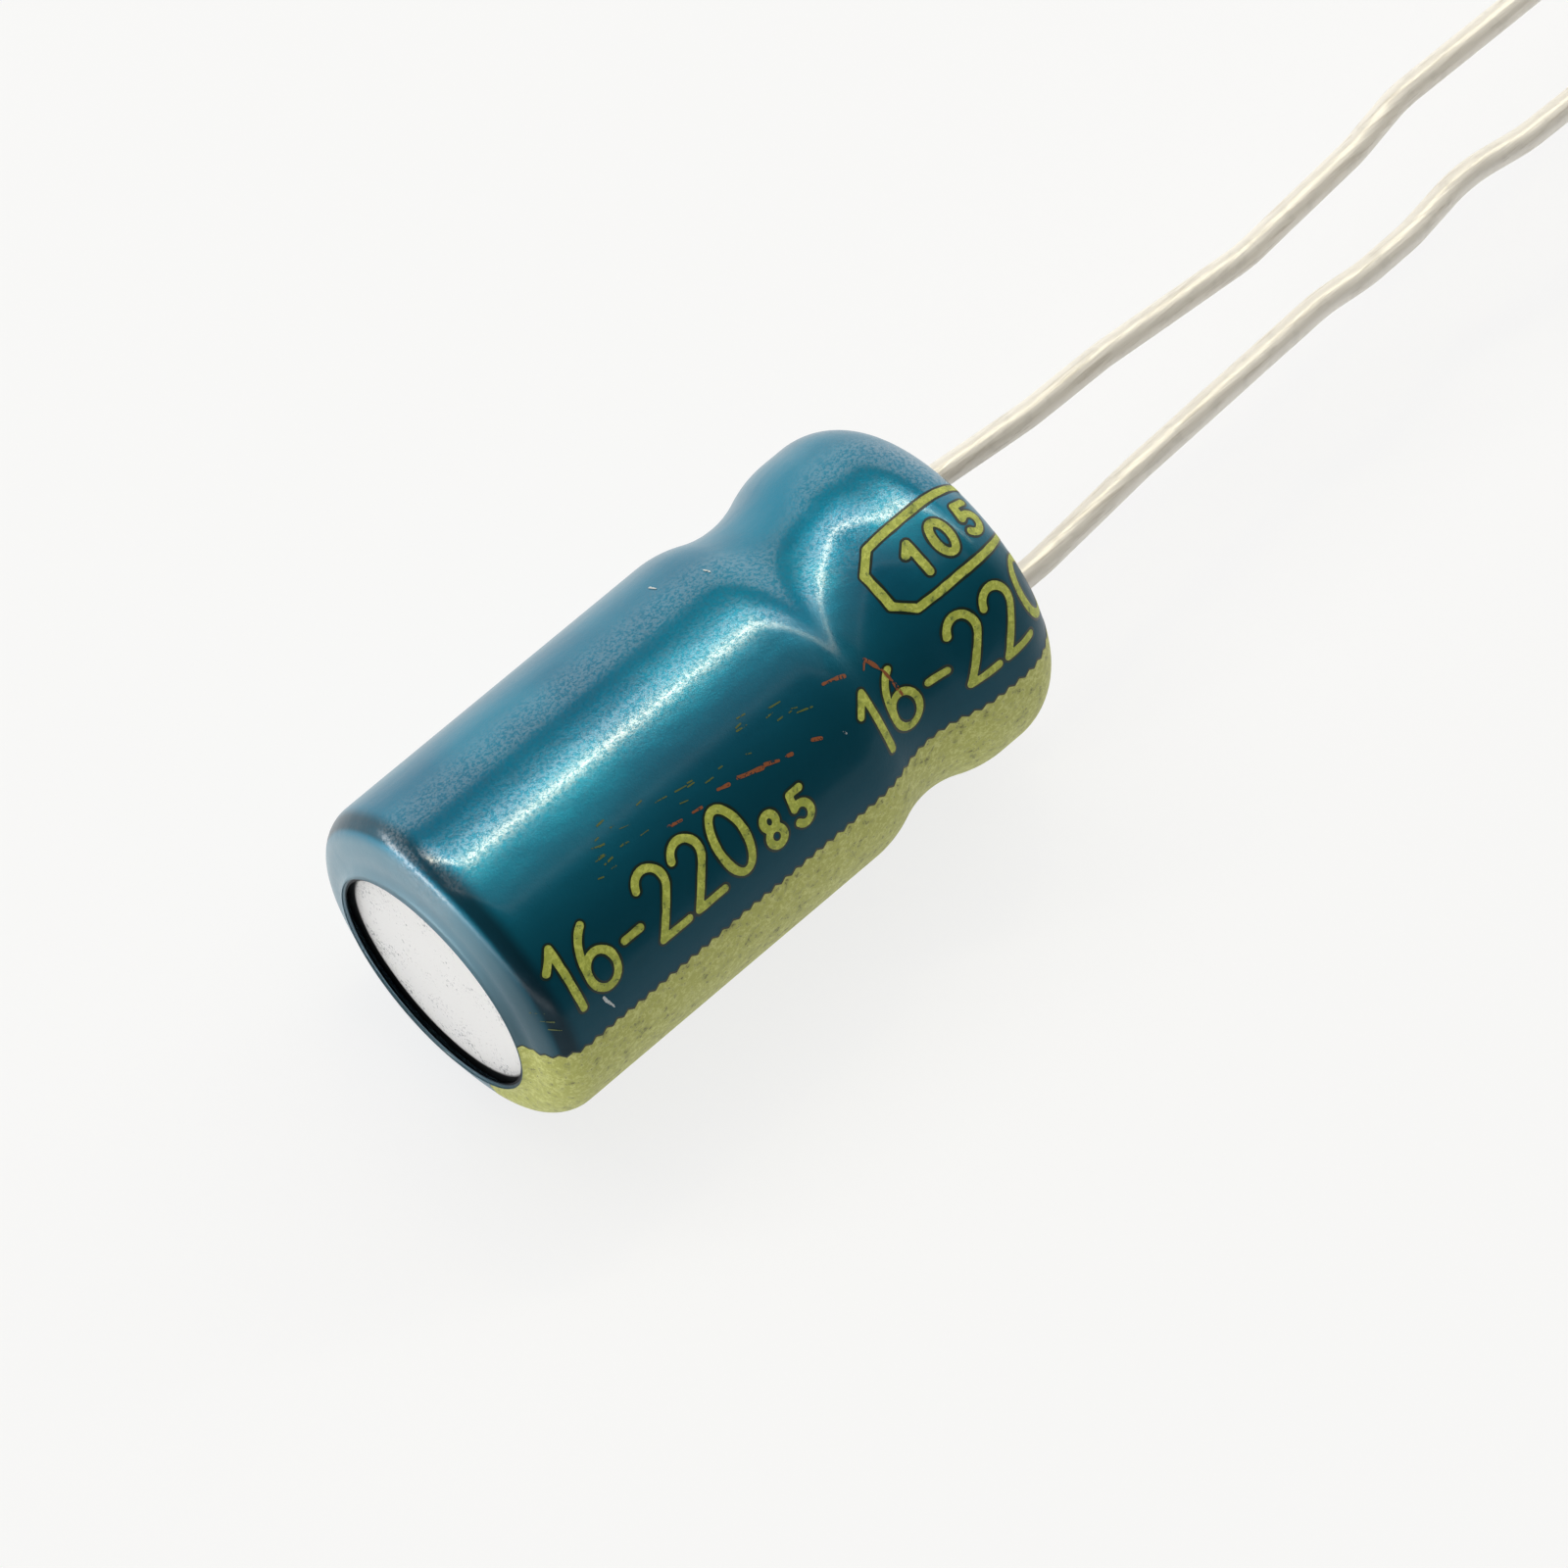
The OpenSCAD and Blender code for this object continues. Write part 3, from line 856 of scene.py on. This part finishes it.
def flat_lamp(name, start, end, width, radiance, tint):
    """A strip lamp that hangs level and faces down, from start to end."""
    run = end - start
    data = bpy.data.lights.new(name, "AREA")
    data.shape = "RECTANGLE"
    data.size = run.length
    data.size_y = width
    data.energy = radiance * math.pi * run.length * width
    data.color = tint
    lamp = bpy.data.objects.new(name, data)
    bpy.context.scene.collection.objects.link(lamp)
    turn = Matrix.Rotation(math.atan2(run.y, run.x), 4, "Z")
    lamp.matrix_world = Matrix.Translation((start + end) / 2) @ turn


def build_world():
    """A dim room with a soft ceiling and a low pale wall on the lamps' side, and a bright low band
    in front of the flat end."""
    world = bpy.data.worlds.new("room")
    bpy.context.scene.world = world
    world.use_nodes = True
    tree = Tree(world.node_tree)
    toward = tree.node("ShaderNodeTexCoord").outputs["Generated"]
    lamp_side = tree.value("ShaderNodeVectorMath", {"operation": "DOT_PRODUCT"},
                           {0: toward, 1: (0.48, 0.873, 0.054)}, "Value")
    along, _, height = tree.parts(toward)
    ceiling = lamp_side.ramp(-0.13, -0.07) * height.ramp(0.60, 0.68)
    wall = (1 - height.ramp(0.40, 0.47)) * lamp_side.ramp(0.0, 0.35)
    front = (-along).ramp(0.25, 0.55) * (1 - height.ramp(0.10, 0.20))
    strength = 0.10 + 0.42 * ceiling + 0.85 * wall + 4.0 * front
    inputs = {"Color": (1.0, 1.0, 1.0), "Strength": strength}
    background = tree.node("ShaderNodeBackground", None, inputs)
    tree.node("ShaderNodeOutputWorld", None, {"Surface": background.outputs[0]})


def build_floor(material):
    """A wide white floor that the body lies on."""
    half = 1.5
    z = -BODY_R
    corners = [(-half, -half, z), (half, -half, z), (half, half, z), (-half, half, z)]
    mesh = bpy.data.meshes.new("floor")
    mesh.from_pydata(corners, [], [(0, 1, 2, 3)])
    mesh.materials.append(material)
    floor = bpy.data.objects.new("floor", mesh)
    bpy.context.scene.collection.objects.link(floor)


def build_lamps(look):
    """A long bright lamp beyond the part, a short warm one within its length, a wide soft one
    further off and a faint one over the part. Places and widths are shares of their height."""
    height = look.lamp_height
    centre = Vector((-6.2 * MM, 0, 0))
    lamps = (
        ("long_lamp", (-0.7, 0.93), (2.2, -0.52), 0.09, 10.0, (1.0, 0.94, 0.76)),
        ("key_lamp", (0.28, 0.446), (0.44, 0.358), 0.045, 24.0, (1.0, 0.88, 0.36)),
        ("soft_lamp", (-0.8, 1.20), (2.2, -0.30), 0.28, 1.5, (0.92, 0.96, 1.0)),
        ("edge_lamp", (-1.6, 0.70), (1.6, -0.96), 0.05, 0.7, (1.0, 1.0, 1.0)),
    )
    for name, start, end, width, radiance, tint in lamps:
        start = centre + Vector((start[0] * height, start[1] * height, height))
        end = centre + Vector((end[0] * height, end[1] * height, height))
        flat_lamp(name, start, end, width * height, radiance, tint)


def build_camera(look):
    """The photo's view of the part."""
    azimuth, elevation = look.camera_azimuth, look.camera_elevation
    level = math.cos(elevation)
    back = Vector((math.sin(azimuth) * level, -math.cos(azimuth) * level, math.sin(elevation)))
    right = Vector((math.cos(azimuth), math.sin(azimuth), 0))
    up = back.cross(right)
    body = Vector((-6.1856 * MM, 0, 0))
    aside, lower = 1.596 * MM, 0.292 * MM
    focal_pixels, frame_pixels = 9469, 1600
    data = bpy.data.cameras.new("camera")
    data.sensor_width = 36
    data.lens = focal_pixels / frame_pixels * data.sensor_width
    data.clip_start = 0.01
    data.clip_end = 20
    camera = bpy.data.objects.new("camera", data)
    bpy.context.scene.collection.objects.link(camera)
    place = body + back * look.camera_distance + right * aside - up * lower
    turn = Matrix((right, up, back)).transposed().to_4x4()
    camera.matrix_world = Matrix.Translation(place) @ turn
    bpy.context.scene.camera = camera


# Operators

class OBJECT_OT_cap_sleeve(bpy.types.Operator):
    """Build the shrunk film"""
    bl_idname = "object.cap_sleeve"
    bl_label = "Sleeve"

    def execute(self, context):
        sleeve = context.scene.cap_sleeve
        build_film(sleeve, film_finish(sleeve))
        return PASS


class OBJECT_OT_cap_print(bpy.types.Operator):
    """Print the stripe, the figures and the flecks on the film"""
    bl_idname = "object.cap_print"
    bl_label = "Print"

    def execute(self, context):
        look = context.scene.cap_print
        face = Face(context.scene.cap_sleeve)
        ink = ink_finish("figure_ink", look.ink[:], look.ink_bright[:], look.ink_dull[:])
        stripe = ink_finish("stripe_ink", look.stripe[:], look.stripe_bright[:],
                            look.stripe_dull[:])
        ground = ground_finish()
        build_stripe(face, look, stripe, ground)
        build_print(face, look, ink, ground)
        build_flecks(face, fleck_finish("rust_fleck", look.fleck[:]),
                     fleck_finish("gold_fleck", look.ink_dull[:]),
                     fleck_finish("white_nick", srgb(225, 235, 238)))
        return PASS


class OBJECT_OT_cap_leads(bpy.types.Operator):
    """Build the two tinned wires"""
    bl_idname = "object.cap_leads"
    bl_label = "Leads"

    def execute(self, context):
        leads = context.scene.cap_leads
        tin = tin_finish(leads)
        build_lead(leads, "anode_wire", "anode_lead", ANODE_STEPS, 1, leads.anode_reach, tin)
        build_lead(leads, "cathode_wire", "cathode_lead", CATHODE_STEPS, -1, leads.cathode_reach,
                   tin)
        return PASS


class OBJECT_OT_cap_solids(bpy.types.Operator):
    """Give the can, the seal and the winding their finishes"""
    bl_idname = "object.cap_solids"
    bl_label = "Can and inner pieces"

    def execute(self, context):
        bare = aluminium_finish("can_aluminium", srgb(253, 253, 254), srgb(168, 171, 176),
                                roughness=0.5, specks=(0.07, 0.25), gap_shade_r=END_SHADE_R)
        tab = aluminium_finish("tab_aluminium", srgb(206, 206, 204), srgb(170, 170, 168),
                               roughness=0.35, specks=(0.0, 0.3))
        paper = sheet_finish("soaked_paper", srgb(214, 196, 156), srgb(184, 160, 118),
                             roughness=0.8, metallic=0.0, scale=5)
        etched = sheet_finish("etched_foil", srgb(160, 160, 156), srgb(128, 128, 124),
                              roughness=0.6, metallic=0.7, scale=11)
        plain = sheet_finish("plain_foil", srgb(200, 200, 198), srgb(176, 176, 172),
                             roughness=0.4, metallic=0.8, scale=7)
        amber = sheet_finish("amber_tape", srgb(206, 158, 76), srgb(180, 130, 58),
                             roughness=0.3, metallic=0.0, scale=2)
        finishes = {
            "can": bare,
            "end_seal": rubber_finish(),
            "anode_foil": etched,
            "cathode_foil": plain,
            "inner_separator": paper,
            "outer_separator": paper,
            "winding_tape": amber,
            "anode_tab": tab,
            "cathode_tab": tab,
        }
        for node, finish in finishes.items():
            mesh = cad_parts[node].data
            mesh.materials.clear()
            mesh.materials.append(finish)
        return PASS


class OBJECT_OT_cap_stage(bpy.types.Operator):
    """Set up the floor, the lamps and the camera"""
    bl_idname = "object.cap_stage"
    bl_label = "Stage"

    def execute(self, context):
        look = context.scene.cap_stage
        context.scene.view_settings.view_transform = "Standard"
        build_world()
        build_floor(floor_finish(look))
        build_lamps(look)
        build_camera(look)
        return PASS


class VIEW3D_PT_cap(bpy.types.Panel):
    """Lists the capacitor's settings and its builders"""
    bl_idname = "VIEW3D_PT_cap"
    bl_label = "Capacitor"
    bl_space_type = "VIEW_3D"
    bl_region_type = "UI"
    bl_category = "Capacitor"

    def draw(self, context):
        layout = self.layout
        for operator in OPERATORS:
            layout.operator(operator.bl_idname)
        for name, group in SETTINGS.items():
            box = layout.box()
            settings = getattr(context.scene, name)
            for key in group.__annotations__:
                box.prop(settings, key)


OPERATORS = (OBJECT_OT_cap_stage, OBJECT_OT_cap_sleeve, OBJECT_OT_cap_print, OBJECT_OT_cap_leads,
             OBJECT_OT_cap_solids)
SETTINGS = {"cap_sleeve": SleeveSettings, "cap_print": PrintSettings, "cap_leads": LeadSettings,
            "cap_stage": StageSettings}


def register():
    for kind in (*SETTINGS.values(), *OPERATORS, VIEW3D_PT_cap):
        bpy.utils.register_class(kind)
    for name, group in SETTINGS.items():
        setattr(bpy.types.Scene, name, PointerProperty(type=group))


def unregister():
    for name in SETTINGS:
        delattr(bpy.types.Scene, name)
    for kind in reversed((*SETTINGS.values(), *OPERATORS, VIEW3D_PT_cap)):
        bpy.utils.unregister_class(kind)


def main():
    register()
    bpy.ops.object.cap_stage()
    bpy.ops.object.cap_sleeve()
    bpy.ops.object.cap_print()
    bpy.ops.object.cap_leads()
    bpy.ops.object.cap_solids()


if __name__ == "__main__":
    main()
